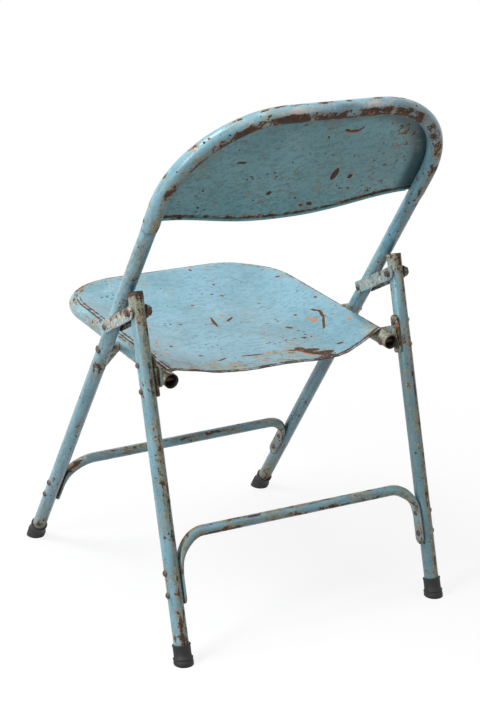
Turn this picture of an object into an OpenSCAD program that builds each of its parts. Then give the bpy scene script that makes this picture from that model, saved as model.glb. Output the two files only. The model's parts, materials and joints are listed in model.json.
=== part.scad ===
// Steel folding chair: two bent-tube frames, a pressed seat and back,
// short link plates between the frames, and riveted cross stretchers.
// Origin on the floor at the middle of the overall depth, +Z up, the sitter faces -Y,
// and +X is the sitter's left.

/* [Frame tube] */
// Outside diameter of the frame, leg and seat tubes
tube_d = 22.2; // [20:0.1:25]
// Wall of those tubes
tube_wall = 1.5; // [1:0.1:2]
// Distance between the axes of the left and right legs
leg_spacing = 440; // [400:5:540]
// Distance on the floor between the front and rear leg axes
foot_spread = 527.5; // [500:0.5:560]

/* [Front frame] */
// Lean of the front legs and back from upright, degrees
front_lean = 35.75; // [34.5:0.05:36.5]
// Length from the floor to the axis of the top bar, along the tube
back_len = 953.5; // [900:0.5:1150]
// Radius of the two top corners, at the tube axis
back_corner_r = 149; // [120:1:165]

/* [Rear legs] */
// Lean of the rear legs from upright, degrees
rear_lean = 14.3; // [13.9:0.05:14.7]
// Length of a rear leg from the floor to its open top, along the tube
rear_leg_len = 533; // [515:1:533]

/* [Pivots] */
// Seat pivot on the front leg, from the floor along the tube
seat_pivot_up = 500.5; // [495:0.5:505]
// Link pivot on the front leg, from the floor along the tube
link_pivot_up = 553; // [550:0.5:560]
// Seat pivot on the rear leg, from the floor along the tube
rear_seat_pivot_up = 404.3; // [400:0.1:408]
// Link pivot on the rear leg, from the floor along the tube
rear_link_pivot_up = 504.1; // [500:0.1:508]
// Shank diameter of the pivot rivets and bolts
pivot_d = 8; // [6:0.5:9]
// Radial running clearance of a pivot in its holes
pivot_clear = 0.08; // [0.02:0.01:0.1]
// Side gap between pieces that turn against each other
side_gap = 0.3; // [0.2:0.05:0.5]

/* [Link plates] */
// Width of a link plate
link_w = 19; // [16:0.5:20]
// Thickness of a link plate
link_t = 3; // [2:0.5:4]
// Across-flats size of the pivot bolt's nut
nut_af = 13; // [12:0.5:14]

/* [Seat] */
// Tilt of the seat, its front above its rear, degrees
seat_tilt = 5.4; // [4.6:0.1:6.6]
// Distance between the axes of the two seat tube runs
seat_spacing = 376; // [360:1:380]
// Seat tube's front bar axis, ahead of the seat pivot
seat_front = 246; // [200:1:260]
// Seat tube's open ends, behind the seat pivot
seat_back = 149; // [146:1:170]
// Radius of the front corners at the tube axis
seat_corner_r = 100; // [80:1:120]
// Thickness of the seat sheet
seat_t = 1.2; // [0.8:0.1:2]
// Depth of the pressed hollow in the seat
dish_depth = 20; // [10:1:30]
// Width of the flat rim around the hollow
rim_w = 12; // [8:1:20]
// Half width of the hollow's flat floor
dish_floor_half = 110; // [70:1:125]
// Front end of the hollow's flat floor, ahead of the seat pivot
dish_floor_front = 110; // [60:1:140]
// Sheet's rear edge behind the seat pivot, on the left
seat_edge_left = 142; // [125:1:146]
// Sheet's rear edge behind the seat pivot, on the right
seat_edge_right = 121; // [115:1:146]
// Width of the sheet's worn, rounded rear right corner
seat_edge_round = 80; // [40:5:120]

/* [Backrest] */
// Thickness of the backrest sheet
back_t = 1.1; // [0.8:0.1:1.5]
// Middle of the panel's lower edge, from the floor along the tube
panel_low_mid = 734; // [720:1:758]
// Ends of the panel's lower edge, from the floor along the tube
panel_low_side = 760; // [760:1:790]
// Lower end of the sheet's wrap round the tube, along the tube
wrap_end_up = 757; // [740:1:759]
// How far the sheet wraps round the tube, degrees
wrap_angle = 225; // [180:5:260]
// Height of the turned bead on the lower edge
bead_h = 5; // [3:0.5:7]
// Thickness of that bead
bead_t = 3.4; // [2.5:0.1:5]

/* [Stretchers] */
// Outside diameter of the stretcher tubes
str_d = 16; // [12:0.5:18]
// Wall of the stretcher tubes
str_wall = 1.2; // [0.8:0.1:1.6]
// Corner radius of a stretcher at its axis
str_corner_r = 38; // [30:1:50]
// Height of the front stretcher's bar above the floor, along the legs
front_str_up = 207; // [190:1:240]
// Lower end of the front stretcher, along the legs
front_str_end = 108; // [90:1:112]
// Height of the rear stretcher's bar above the floor, along the legs
rear_str_up = 179; // [175:1:220]
// Lower end of the rear stretcher, along the legs
rear_str_end = 84; // [60:1:86]
// Thickness of a stretcher's flattened end
flat_t = 3.6; // [3.4:0.1:6]
// Width of a stretcher's flattened end
flat_w = 20; // [16:0.5:22]
// Distance between the two rivets of a stretcher end
str_rivet_pitch = 32; // [24:1:34]

/* [Rivets and small plates] */
// Shank diameter of the fixing rivets
rivet_d = 6; // [4:0.5:7]
// Head diameter of the fixing rivets
rivet_head_d = 10; // [8:0.5:11]
// Head height of every rivet
rivet_head_h = 3.2; // [2:0.1:3.5]
// Thickness of the hinge plates on the rear legs
hinge_t = 3; // [2:0.5:4]
// Width of those hinge plates
hinge_w = 17; // [16:0.5:22]
// Length of those hinge plates
hinge_len = 58; // [54:1:64]
// Upper hinge plate rivet above the rear seat pivot
hinge_rivet_above = 26; // [20:0.5:27]
// Lower hinge plate rivet below the rear seat pivot
hinge_rivet_below = 11.5; // [11:0.5:16]
// Thickness of the welded ears on the seat tube
ear_t = 3; // [2:0.5:3.5]

/* [Rubber tips] */
// Outside diameter of a rubber tip's sleeve
tip_d = 26; // [25:0.5:30]
// Outside diameter of the ring at its foot
tip_ring_d = 29.5; // [27:0.5:34]
// Height of a tip's sleeve along the leg
tip_h = 27; // [22:1:34]
// Rubber left under the tube's end
tip_floor = 4; // [3:0.5:6]

/* [Hidden] */
$fn = 48;

PAINT = "#7fb2c0";
WORN = "#9aa7a3";
RUBBER = "#26282b";
STEEL = "#6d665f";

tube_r = tube_d / 2;
bore_r = tube_r - tube_wall;
leg_x = leg_spacing / 2;
seat_x = seat_spacing / 2;
wrap_in = tube_r + 0.1;
wrap_out = wrap_in + back_t;

// The origin is at the middle of the chair's overall depth
front_y = -(back_len * sin(front_lean) + wrap_out - tip_ring_d / 2 / cos(front_lean)) / 2;
rear_y = front_y + foot_spread;
pin_r = pivot_d / 2;
hole_r = pin_r + pivot_clear;
snug = 0.02;
cut = 1;
big = 2000;

// Pivot points in the side view, as [y, z]
seat_pivot = [front_y + seat_pivot_up * sin(front_lean), seat_pivot_up * cos(front_lean)];
link_pivot = [front_y + link_pivot_up * sin(front_lean), link_pivot_up * cos(front_lean)];
rear_seat_pivot = [rear_y - rear_seat_pivot_up * sin(rear_lean),
    rear_seat_pivot_up * cos(rear_lean)];
rear_link_pivot = [rear_y - rear_link_pivot_up * sin(rear_lean),
    rear_link_pivot_up * cos(rear_lean)];

// The rear seat pivot in the seat's own plane, as [behind, above] the front one
seat_run = rear_seat_pivot - seat_pivot;
run_tilt = atan2(-seat_run[1], seat_run[0]);
rear_pin_back = norm(seat_run) * cos(run_tilt - seat_tilt);
rear_pin_over = -norm(seat_run) * sin(run_tilt - seat_tilt);
link_run = rear_link_pivot - link_pivot;
link_angle = atan2(link_run[1], link_run[0]);
link_len = norm(link_run);

// Tube ends stand above the rubber left under them
front_tube_end = (tip_floor + tube_r * sin(front_lean)) / cos(front_lean);
rear_tube_end = (tip_floor + tube_r * sin(rear_lean)) / cos(rear_lean);

// Faces across the chair, as distances from the middle
leg_in = leg_x - tube_r;
seat_out = seat_x + tube_r;
link_in_face = tube_r + side_gap;
hinge_face = leg_in - hinge_t;
pin_end = hinge_face - side_gap;
spacer_face = seat_out + side_gap;

// Frames: local z runs up the tube, local y points behind it
module on_front() {
    translate([0, front_y, 0]) rotate([-front_lean, 0, 0]) children();
}

module on_rear() {
    translate([0, rear_y, 0]) rotate([rear_lean, 0, 0]) children();
}

// Seat frame: origin on the seat pivot, local y runs back along the seat
module on_seat() {
    translate([0, seat_pivot[0], seat_pivot[1]]) rotate([-seat_tilt, 0, 0]) children();
}

// Link frame: origin on the front link pivot, local y runs to the rear one
module at_rear_pin() {
    translate([0, rear_pin_back, rear_pin_over]) children();
}

module on_link() {
    translate([0, link_pivot[0], link_pivot[1]]) rotate([link_angle, 0, 0]) children();
}

module sided(side) {
    if (side > 0) children();
    else mirror([1, 0, 0]) children();
}

module both() {
    children();
    mirror([1, 0, 0]) children();
}

module across(r, x0, x1) {
    translate([x0, 0, 0]) rotate([0, 90, 0]) cylinder(r = r, h = x1 - x0);
}

// Domed rivet head on the face at x, pointing along dir
module rivet_head(x, dir, d) {
    dome = d / 2;
    ball = (dome * dome + rivet_head_h * rivet_head_h) / (2 * rivet_head_h);
    translate([x, 0, 0]) rotate([0, 90 * dir, 0]) intersection() {
        cylinder(r = dome, h = rivet_head_h);
        translate([0, 0, rivet_head_h - ball]) sphere(r = ball);
    }
}

module rivet(x0, x1, shank, head) {
    across(shank, x0, x1);
    rivet_head(x0, -1, head);
    rivet_head(x1, 1, head);
}

// ---- front frame ----

// The inverted U as a solid of radius r, from u0 up
module arch(r, u0) {
    run = back_len - back_corner_r;
    both() translate([leg_x, 0, run]) rotate([180, 0, 0]) cylinder(r = r, h = run - u0);
    both() translate([leg_x - back_corner_r, 0, run]) rotate([90, 0, 0])
        rotate_extrude(angle = 90) translate([back_corner_r, 0]) circle(r = r);
    translate([0, 0, back_len]) across(r, back_corner_r - leg_x, leg_x - back_corner_r);
}

module leg_rivet_holes(end_up) {
    for (i = [0, 1])
        translate([0, 0, end_up + str_rivet_foot + i * str_rivet_pitch])
            across(rivet_d / 2 + snug, leg_x - tube_d, leg_x + tube_d);
}

module main_frame_tube() {
    color(PAINT) on_front() difference() {
        arch(tube_r, front_tube_end);
        arch(bore_r, front_tube_end - cut);
        both() translate([0, 0, seat_pivot_up]) across(pin_r + snug, leg_x - tube_d, leg_x + tube_d);
        both() translate([0, 0, link_pivot_up]) across(hole_r, leg_x - tube_d, leg_x + tube_d);
        both() leg_rivet_holes(front_str_foot);
    }
}

// Section of the wrapped sheet: +x is the outside of the frame, -y its front
module wrap_section() {
    steps = 12;
    difference() {
        circle(r = wrap_out);
        circle(r = wrap_in);
        polygon(concat([[0, 0]], [for (i = [0 : steps])
            let (a = -90 + wrap_angle + i * (360 - wrap_angle) / steps)
            [2 * tube_d * cos(a), 2 * tube_d * sin(a)]]));
    }
}

module back_wrap() {
    run = back_len - back_corner_r;
    both() translate([leg_x, 0, wrap_end_up]) linear_extrude(run - wrap_end_up) wrap_section();
    both() translate([leg_x - back_corner_r, 0, run]) rotate([90, 0, 0])
        rotate_extrude(angle = 90) translate([back_corner_r, 0]) mirror([0, 1]) wrap_section();
    translate([back_corner_r - leg_x, 0, back_len]) rotate([90, 0, 90])
        linear_extrude(leg_spacing - 2 * back_corner_r) rotate(90) mirror([0, 1]) mirror([0, 1])
        wrap_section();
}

// Lower edge of the panel: a soft drop from the legs' inner faces to the middle
function panel_low(x) = let (t = pow(min(abs(x) / leg_in, 1), 1.2))
    panel_low_mid + (panel_low_side - panel_low_mid) * (1 - cos(180 * t)) / 2;

module panel_outline() {
    steps = 60;
    run = back_len - back_corner_r;
    intersection() {
        union() {
            translate([-leg_x, 0]) square([leg_spacing, run]);
            for (s = [-1, 1]) translate([s * (leg_x - back_corner_r), run])
                circle(r = back_corner_r, $fn = 96);
            translate([back_corner_r - leg_x, 0])
                square([leg_spacing - 2 * back_corner_r, back_len]);
        }
        polygon(concat([for (i = [0 : steps]) let (x = -leg_x + i * leg_spacing / steps)
            [x, panel_low(x)]], [[leg_x, big], [-leg_x, big]]));
    }
}

module panel_bead_outline() {
    steps = 60;
    half = leg_x - tube_r - 1;
    polygon(concat(
        [for (i = [0 : steps]) let (x = -half + 2 * half * i / steps) [x, panel_low(x)]],
        [for (i = [steps : -1 : 0]) let (x = -half + 2 * half * i / steps)
            [x, panel_low(x) + bead_h]]));
}

module backrest_panel() {
    color(PAINT) on_front() {
        back_wrap();
        translate([0, -wrap_in, 0]) rotate([90, 0, 0]) linear_extrude(back_t) panel_outline();
        translate([0, bead_t - wrap_out, 0]) rotate([90, 0, 0]) linear_extrude(bead_t)
            panel_bead_outline();
    }
}

// ---- stretchers ----

str_rivet_foot = 17;
str_flat_len = str_rivet_foot + str_rivet_pitch + rivet_head_d / 2;
str_blend = 3;

// Foot of a flattened end: it moves down when the bend above it needs the height
function str_foot(bar_up, end_up) = min(end_up, bar_up - str_corner_r - str_flat_len - str_blend);

front_str_foot = str_foot(front_str_up, front_str_end);
rear_str_foot = str_foot(rear_str_up, rear_str_end);

// Half a stretcher in the plane of its legs, as a solid grown by -inset
module stretcher_half(bar_up, end_up, inset) {
    r = str_d / 2 - inset;
    axis_x = leg_in - str_d / 2;
    flat_x = leg_in - flat_t / 2;
    bend_up = bar_up - str_corner_r;
    flat_up = end_up + str_flat_len;
    slab_t = flat_t - 2 * inset;
    slab_w = flat_w - 2 * inset;
    translate([0, 0, bar_up]) across(r, -cut, axis_x - str_corner_r);
    translate([axis_x - str_corner_r, 0, bend_up]) rotate([90, 0, 0])
        rotate_extrude(angle = 90) translate([str_corner_r, 0]) circle(r = r);
    hull() {
        translate([axis_x, 0, bend_up - 0.01]) cylinder(r = r, h = 0.01, $fn = 32);
        translate([flat_x - slab_t / 2, -slab_w / 2, flat_up]) cube([slab_t, slab_w, 0.01]);
    }
    translate([flat_x - slab_t / 2, 0, 0]) rotate([90, 0, 90]) linear_extrude(slab_t) {
        translate([-slab_w / 2, end_up + flat_w / 2]) square([slab_w, flat_up - end_up - flat_w / 2]);
        translate([0, end_up + flat_w / 2]) circle(r = slab_w / 2);
        if (inset > 0) translate([-slab_w / 4, end_up - cut]) square([slab_w / 2, flat_w / 2]);
    }
}

module stretcher(bar_up, end_up) {
    slit = (flat_t - 0.8) / 2;
    difference() {
        both() stretcher_half(bar_up, end_up, 0);
        both() stretcher_half(bar_up, end_up, min(str_wall, slit));
        both() leg_rivet_holes(end_up);
    }
}

module stretcher_rivets(end_up) {
    both() for (i = [0, 1])
        translate([0, 0, end_up + str_rivet_foot + i * str_rivet_pitch])
            rivet(leg_in - flat_t, leg_x + tube_r, rivet_d / 2, rivet_head_d);
}

module front_stretcher() {
    color(PAINT) on_front() stretcher(front_str_up, front_str_foot);
}

module front_stretcher_rivets() {
    color(WORN) on_front() stretcher_rivets(front_str_foot);
}

// ---- seat pivots on the front legs ----

// Teardrop spacer: full depth round the pivot, thinning to a tail down the leg
module seat_pivot_spacer(side) {
    boss_r = 8.5;
    tail = 44;
    depth = leg_x - spacer_face;
    on_front() sided(side) translate([spacer_face, 0, seat_pivot_up]) difference() {
        union() {
            across(boss_r, 0, depth);
            intersection() {
                rotate([90, 0, 90]) linear_extrude(depth)
                    polygon([[-8, 0], [8, 0], [2, -tail], [-2, -tail]]);
                rotate([90, 0, 0]) translate([0, 0, -tail]) linear_extrude(2 * tail)
                    polygon([[0.5, 1], [depth, 1], [depth, -tail - 1],
                        [leg_in - spacer_face - 1, -tail - 1], [0.5, -4]]);
            }
        }
        translate([depth, 0, -big / 2]) cylinder(r = tube_r + snug, h = big);
        across(pin_r + snug, -cut, depth + cut);
    }
}

module seat_pivot_rivet(side) {
    seat_in = seat_x - tube_r - side_gap;
    on_front() sided(side) translate([0, 0, seat_pivot_up])
        rivet(seat_in, leg_x + tube_r, pin_r, rivet_head_d + 3);
}

module seat_pivot_spacer_left() {
    color(PAINT) seat_pivot_spacer(1);
}

module seat_pivot_spacer_right() {
    color(PAINT) seat_pivot_spacer(-1);
}

module seat_pivot_rivet_left() {
    color(WORN) seat_pivot_rivet(1);
}

module seat_pivot_rivet_right() {
    color(WORN) seat_pivot_rivet(-1);
}

// ---- rubber tips ----

// A cup on the tube's end, worn flat where it meets the floor
module tip(tube_end, lean) {
    ring_h = 6 + tip_ring_d / 2 * sin(lean);
    top = max(tube_end, ring_h) + tip_h - 8;
    difference() {
        union() {
            translate([0, 0, -tip_ring_d]) cylinder(d = tip_d, h = top + tip_ring_d);
            translate([0, 0, -tip_ring_d]) cylinder(d = tip_ring_d, h = ring_h + tip_ring_d);
            translate([0, 0, top - 2.5]) cylinder(d = tip_d + 1.2, h = 2.5);
        }
        translate([0, 0, tube_end]) cylinder(r = tube_r + snug, h = big);
    }
}

module above_floor() {
    intersection() {
        children();
        translate([-big, -big, 0]) cube([2 * big, 2 * big, big]);
    }
}

module front_tip(side) {
    above_floor() on_front() sided(side) translate([leg_x, 0, 0]) tip(front_tube_end, front_lean);
}

module rear_tip(side) {
    above_floor() on_rear() sided(side) translate([leg_x, 0, 0]) tip(rear_tube_end, rear_lean);
}

module front_tip_left() {
    color(RUBBER) front_tip(1);
}

module front_tip_right() {
    color(RUBBER) front_tip(-1);
}

module rear_tip_left() {
    color(RUBBER) rear_tip(1);
}

module rear_tip_right() {
    color(RUBBER) rear_tip(-1);
}

// ---- seat ----

module seat_u(r, back) {
    run = seat_front - seat_corner_r;
    both() translate([seat_x, -run, 0]) rotate([-90, 0, 0]) cylinder(r = r, h = run + back);
    both() translate([seat_x - seat_corner_r, -run, 0]) rotate([0, 0, -90])
        rotate_extrude(angle = 90) translate([seat_corner_r, 0]) circle(r = r);
    translate([0, -seat_front, 0]) across(r, seat_corner_r - seat_x, seat_x - seat_corner_r);
}

module seat_frame_tube() {
    color(PAINT) on_seat() difference() {
        seat_u(tube_r, seat_back);
        seat_u(bore_r, seat_back + cut);
        both() across(hole_r, seat_x - tube_d, seat_x + tube_d);
        both() at_rear_pin() across(pin_r + snug, seat_x - tube_d, seat_x + tube_d);
    }
}

// Rounded outline of the seat, inset by e from the tube axis, open to the rear
module seat_outline(half, front, corner) {
    r = max(corner, 10);
    for (s = [-1, 1]) translate([s * (half - r), r - front]) circle(r = r, $fn = 64);
    translate([r - half, -front]) square([2 * (half - r), r]);
    translate([-half, r - front]) square([2 * half, front - r + seat_back + dish_depth]);
}

// The hollow's volume, its open top at height top
module dish(top) {
    half = seat_x - rim_w;
    front = seat_front - rim_w;
    hull() {
        translate([0, 0, top]) linear_extrude(0.01)
            seat_outline(half, front, seat_corner_r - rim_w, $fn = 64);
        translate([0, 0, top - dish_depth]) linear_extrude(0.01)
            seat_outline(dish_floor_half, dish_floor_front, 60);
    }
}

module seat_sheet() {
    under = tube_r;
    top = under + seat_t;
    color(PAINT) on_seat() intersection() {
        difference() {
            union() {
                translate([0, 0, under]) linear_extrude(seat_t)
                    seat_outline(seat_x, seat_front, seat_corner_r);
                dish(under);
            }
            dish(top);
            translate([0, 0, top]) linear_extrude(big) square(big, center = true);
        }
        translate([0, 0, -big / 2]) linear_extrude(big) rear_cut();
    }
}

// What is kept of the sheet: straight at the rear, then rounded off on the right
module rear_cut() {
    steps = 10;
    drop = seat_edge_left - seat_edge_right;
    polygon(concat([[-seat_x, -big], [seat_x, -big], [seat_x, seat_edge_left]],
        [for (i = [0 : steps]) let (t = i / steps)
            [seat_edge_round - seat_x - t * seat_edge_round, seat_edge_left - drop * t * t]]));
}

// Welded ear on the outside of the seat tube, round the rear pivot
module seat_ear(side) {
    ear_r = 9.5;
    foot = 34;
    on_seat() sided(side) translate([seat_out, 0, 0]) at_rear_pin() difference() {
        rotate([90, 0, 90]) linear_extrude(ear_t) {
            circle(r = ear_r);
            polygon([[-foot, -1], [3, -9], [ear_r, 0], [1, 21], [-7, 20], [-foot, 7]]);
        }
        across(pin_r + snug, -cut, ear_t + cut);
    }
}

module seat_ear_left() {
    color(PAINT) seat_ear(1);
}

module seat_ear_right() {
    color(PAINT) seat_ear(-1);
}

module rear_pivot_pin(side) {
    seat_in = seat_x - tube_r;
    on_seat() sided(side) at_rear_pin() {
        across(pin_r, seat_in, pin_end);
        rivet_head(seat_in, -1, rivet_head_d + 2);
    }
}

module rear_pivot_pin_left() {
    color(WORN) rear_pivot_pin(1);
}

module rear_pivot_pin_right() {
    color(WORN) rear_pivot_pin(-1);
}

// ---- links ----

module link_plate(side, x) {
    on_link() sided(side) translate([x, 0, 0]) difference() {
        rotate([90, 0, 90]) linear_extrude(link_t) {
            translate([0, -link_w / 2]) square([link_len, link_w]);
            translate([link_len, 0]) circle(r = link_w / 2);
            translate([-link_w / 2 + 3, -link_w / 2]) square([link_w / 2, link_w]);
        }
        across(pin_r + snug, -cut, link_t + cut);
        translate([0, link_len, 0]) across(pin_r + snug, -cut, link_t + cut);
    }
}

module link_outer(side) {
    link_plate(side, leg_x + link_in_face);
}

module link_inner(side) {
    link_plate(side, leg_x - link_in_face - link_t);
}

module link_rivet(side) {
    on_link() sided(side)
        rivet(leg_x - link_in_face - link_t, leg_x + link_in_face + link_t, pin_r,
            rivet_head_d);
}

// Bolt head outside on the left and inside on the right
module link_bolt(side) {
    on_link() sided(side) translate([0, link_len, 0]) {
        across(pin_r, leg_x - bolt_reach, leg_x + bolt_reach);
        rivet_head(leg_x + side * (link_in_face + link_t), side, rivet_head_d + 1);
    }
}

// Nut on the other end of the bolt
module link_nut(side) {
    nut_h = 5;
    face = leg_x - side * (link_in_face + link_t);
    on_link() sided(side) translate([face - (side > 0 ? nut_h : 0), link_len, 0])
        difference() {
            rotate([0, 90, 0]) cylinder(d = nut_af / cos(30), h = nut_h, $fn = 6);
            across(pin_r + snug, -cut, nut_h + cut);
        }
}

bolt_reach = link_in_face + link_t + 5;

module link_outer_left() {
    color(WORN) link_outer(1);
}

module link_inner_left() {
    color(WORN) link_inner(1);
}

module link_rivet_left() {
    color(WORN) link_rivet(1);
}

module link_bolt_left() {
    color(STEEL) link_bolt(1);
}

module link_nut_left() {
    color(STEEL) link_nut(1);
}

module link_outer_right() {
    color(WORN) link_outer(-1);
}

module link_inner_right() {
    color(WORN) link_inner(-1);
}

module link_rivet_right() {
    color(WORN) link_rivet(-1);
}

module link_bolt_right() {
    color(STEEL) link_bolt(-1);
}

module link_nut_right() {
    color(STEEL) link_nut(-1);
}

// ---- rear legs ----

module hinge_rivet_places() {
    for (u = [rear_seat_pivot_up + hinge_rivet_above, rear_seat_pivot_up - hinge_rivet_below])
        translate([0, 0, u]) children();
}

module rear_leg(side) {
    on_rear() sided(side) difference() {
        translate([leg_x, 0, rear_tube_end]) cylinder(r = tube_r, h = rear_leg_len - rear_tube_end);
        translate([leg_x, 0, rear_tube_end - cut]) cylinder(r = bore_r, h = rear_leg_len);
        translate([0, 0, rear_link_pivot_up]) across(hole_r, leg_x - tube_d, leg_x + tube_d);
        hinge_rivet_places() across(rivet_d / 2 + snug, leg_x - tube_d, leg_x + tube_d);
        leg_rivet_holes(rear_str_foot);
    }
}

module rear_leg_left() {
    color(PAINT) rear_leg(1);
}

module rear_leg_right() {
    color(PAINT) rear_leg(-1);
}

module rear_stretcher() {
    color(PAINT) on_rear() stretcher(rear_str_up, rear_str_foot);
}

module rear_stretcher_rivets() {
    color(WORN) on_rear() stretcher_rivets(rear_str_foot);
}

module hinge_plate(side) {
    mid = (hinge_rivet_above - hinge_rivet_below) / 2;
    on_rear() sided(side) difference() {
        translate([hinge_face, -hinge_w / 2, rear_seat_pivot_up + mid - hinge_len / 2])
            cube([hinge_t, hinge_w, hinge_len]);
        hinge_rivet_places() across(rivet_d / 2 + snug, hinge_face - cut, leg_in + cut);
    }
}

module hinge_plate_left() {
    color(PAINT) hinge_plate(1);
}

module hinge_plate_right() {
    color(PAINT) hinge_plate(-1);
}

module hinge_plate_rivets() {
    color(WORN) on_rear() both() hinge_rivet_places()
        rivet(hinge_face, leg_x + tube_r, rivet_d / 2, rivet_head_d - 1);
}

main_frame_tube();
backrest_panel();
front_stretcher();
front_stretcher_rivets();
seat_pivot_spacer_left();
seat_pivot_spacer_right();
seat_pivot_rivet_left();
seat_pivot_rivet_right();
front_tip_left();
front_tip_right();
seat_frame_tube();
seat_sheet();
seat_ear_left();
seat_ear_right();
rear_pivot_pin_left();
rear_pivot_pin_right();
link_outer_left();
link_inner_left();
link_rivet_left();
link_bolt_left();
link_nut_left();
link_outer_right();
link_inner_right();
link_rivet_right();
link_bolt_right();
link_nut_right();
rear_leg_left();
rear_leg_right();
rear_stretcher();
rear_stretcher_rivets();
hinge_plate_left();
hinge_plate_right();
hinge_plate_rivets();
rear_tip_left();
rear_tip_right();
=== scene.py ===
# %% [markdown]
# # An old folding chair in peeling blue paint
# The chair is steel tube and pressed sheet, painted sky blue many years ago.
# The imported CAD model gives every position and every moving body. Here each tube
# and sheet is rebuilt as a finer mesh that carries its wear as numbers on its
# points, and the small plates and rivets keep their CAD shape and get a finish.

# %% The fixed frame
import json
import math
import bpy
import numpy as np
from mathutils import Matrix, Vector, noise


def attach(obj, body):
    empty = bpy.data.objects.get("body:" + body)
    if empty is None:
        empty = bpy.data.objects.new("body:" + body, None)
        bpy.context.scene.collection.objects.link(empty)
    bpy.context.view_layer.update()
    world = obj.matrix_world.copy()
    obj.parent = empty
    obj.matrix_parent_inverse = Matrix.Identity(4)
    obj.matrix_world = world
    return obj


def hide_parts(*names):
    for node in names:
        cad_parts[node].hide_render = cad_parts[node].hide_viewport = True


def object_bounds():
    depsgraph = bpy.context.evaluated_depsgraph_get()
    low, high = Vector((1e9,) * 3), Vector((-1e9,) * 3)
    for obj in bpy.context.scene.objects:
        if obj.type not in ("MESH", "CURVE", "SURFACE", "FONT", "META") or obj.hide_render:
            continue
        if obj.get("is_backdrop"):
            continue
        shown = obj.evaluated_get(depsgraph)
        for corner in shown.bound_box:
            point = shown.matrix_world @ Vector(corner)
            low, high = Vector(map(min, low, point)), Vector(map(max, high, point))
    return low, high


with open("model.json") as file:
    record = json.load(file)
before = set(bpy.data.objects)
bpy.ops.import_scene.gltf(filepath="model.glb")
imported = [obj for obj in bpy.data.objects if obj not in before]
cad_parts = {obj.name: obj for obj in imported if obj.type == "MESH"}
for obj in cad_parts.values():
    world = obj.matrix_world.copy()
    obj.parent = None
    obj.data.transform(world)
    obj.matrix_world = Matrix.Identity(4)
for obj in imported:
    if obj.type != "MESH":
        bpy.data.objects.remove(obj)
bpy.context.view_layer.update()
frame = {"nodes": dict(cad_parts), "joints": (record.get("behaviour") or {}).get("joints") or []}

# %% [markdown]
# ## Where things are
# The chair is built in slanted planes: the front frame leans back, the rear legs
# lean forward, and the seat tips a little to the rear. Each plane gets a matrix
# that takes its own simple coordinates to the row frame. The pivots come from the
# record's joints, so the planes sit exactly where the CAD has them.

# %% The chair's planes
FRONT_LEAN = math.radians(35.75)
REAR_LEAN = math.radians(14.3)
SEAT_PIVOT_UP = 0.5005
REAR_LINK_UP = 0.5041
REAR_SEAT_UP = 0.4043
pivots = {j["name"]: Vector(j["pos_m"]) for j in frame["joints"]}
seat_pivot = pivots["seat_fold"]
front_y = seat_pivot.y - SEAT_PIVOT_UP * math.sin(FRONT_LEAN)
rear_y = pivots["rear_leg_fold"].y + REAR_LINK_UP * math.sin(REAR_LEAN)
SEAT_TILT = math.radians(5.4)
SIDES = ((1, "left"), (-1, "right"))


def plane(y, z, turn):
    """Local (x, behind, up) to the row frame, for a plane turned about X."""
    return Matrix.Translation((0, y, z)) @ Matrix.Rotation(turn, 4, "X")


FRONT = plane(front_y, 0, -FRONT_LEAN)
REAR = plane(rear_y, 0, REAR_LEAN)
SEAT = plane(seat_pivot.y, seat_pivot.z, -SEAT_TILT)
print("front legs meet the floor at y", round(front_y, 4), "rear legs at", round(rear_y, 4))

# %% Sizes of the tubes
TUBE_R, TUBE_BORE = 0.0111, 0.0096
LEG_X, SEAT_X = 0.220, 0.188
LEG_IN = LEG_X - TUBE_R
BACK_LEN, BACK_CORNER = 0.9535, 0.149
ARCH_UP = BACK_LEN - BACK_CORNER
SEAT_FRONT, SEAT_BACK, SEAT_CORNER = 0.246, 0.149, 0.100
MM = 0.001
FULL_TURN = 2 * math.pi
FAR = 50.0  # millimetres to the nearest scratch, where there is none

# %% [markdown]
# ## Meshes from rings and grids
# A tube is a row of rings joined up, and a sheet is a grid of points with a
# second grid behind it. Both are quick to make from arrays of numbers, and every
# point knows how far along and around it is, which the wear is painted from.

# %% One mesh from arrays
def mesh_piece(name, body, node_names, points, faces, finish, wear=None, skin=None):
    """A piece from points (n, 3) and quads, that stands for CAD nodes."""
    data = bpy.data.meshes.new(name)
    data.from_pydata([tuple(p) for p in points], [], [tuple(f) for f in faces])
    data.update()
    for key, values in (wear or {}).items():
        layer = data.attributes.new(key, "FLOAT", "POINT")
        layer.data.foreach_set("value", np.asarray(values, np.float32))
    if skin is not None:
        layer = data.attributes.new("skin", "FLOAT_VECTOR", "POINT")
        layer.data.foreach_set("vector", np.asarray(skin, np.float32).reshape(-1))
    data.polygons.foreach_set("use_smooth", [True] * len(data.polygons))
    piece = bpy.data.objects.new(name, data)
    bpy.context.scene.collection.objects.link(piece)
    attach(piece, body)
    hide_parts(*node_names)
    data.materials.append(finish)
    print(name, len(faces), "faces")
    return piece


def placed(matrix, local):
    """Local points (n, 3) taken through a 4 by 4 matrix."""
    m = np.array(matrix)
    return np.asarray(local) @ m[:3, :3].T + m[:3, 3]


def noise_at(points, scale, seed=0.0):
    """Smooth noise in about -1 to 1 at each point, features 1/scale metres wide."""
    return np.array([noise.noise(Vector(p) * scale + Vector((seed, seed * 2, -seed)))
                     for p in points])


def noise_along(line, scale, seed):
    """The same noise at each distance along a line."""
    return noise_at(np.stack([line * scale, line * 0, line * 0], -1), 1.0, seed)


def ring_faces(rings, around, closed=True, start=0, flip=False):
    """Quads that join ring to ring, each ring holding `around` points."""
    faces = []
    span = around if closed else around - 1
    for i in range(rings - 1):
        for j in range(span):
            a = start + i * around + j
            b = start + i * around + (j + 1) % around
            quad = (a, b, b + around, a + around)
            faces.append(quad[::-1] if flip else quad)
    return faces


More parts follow.
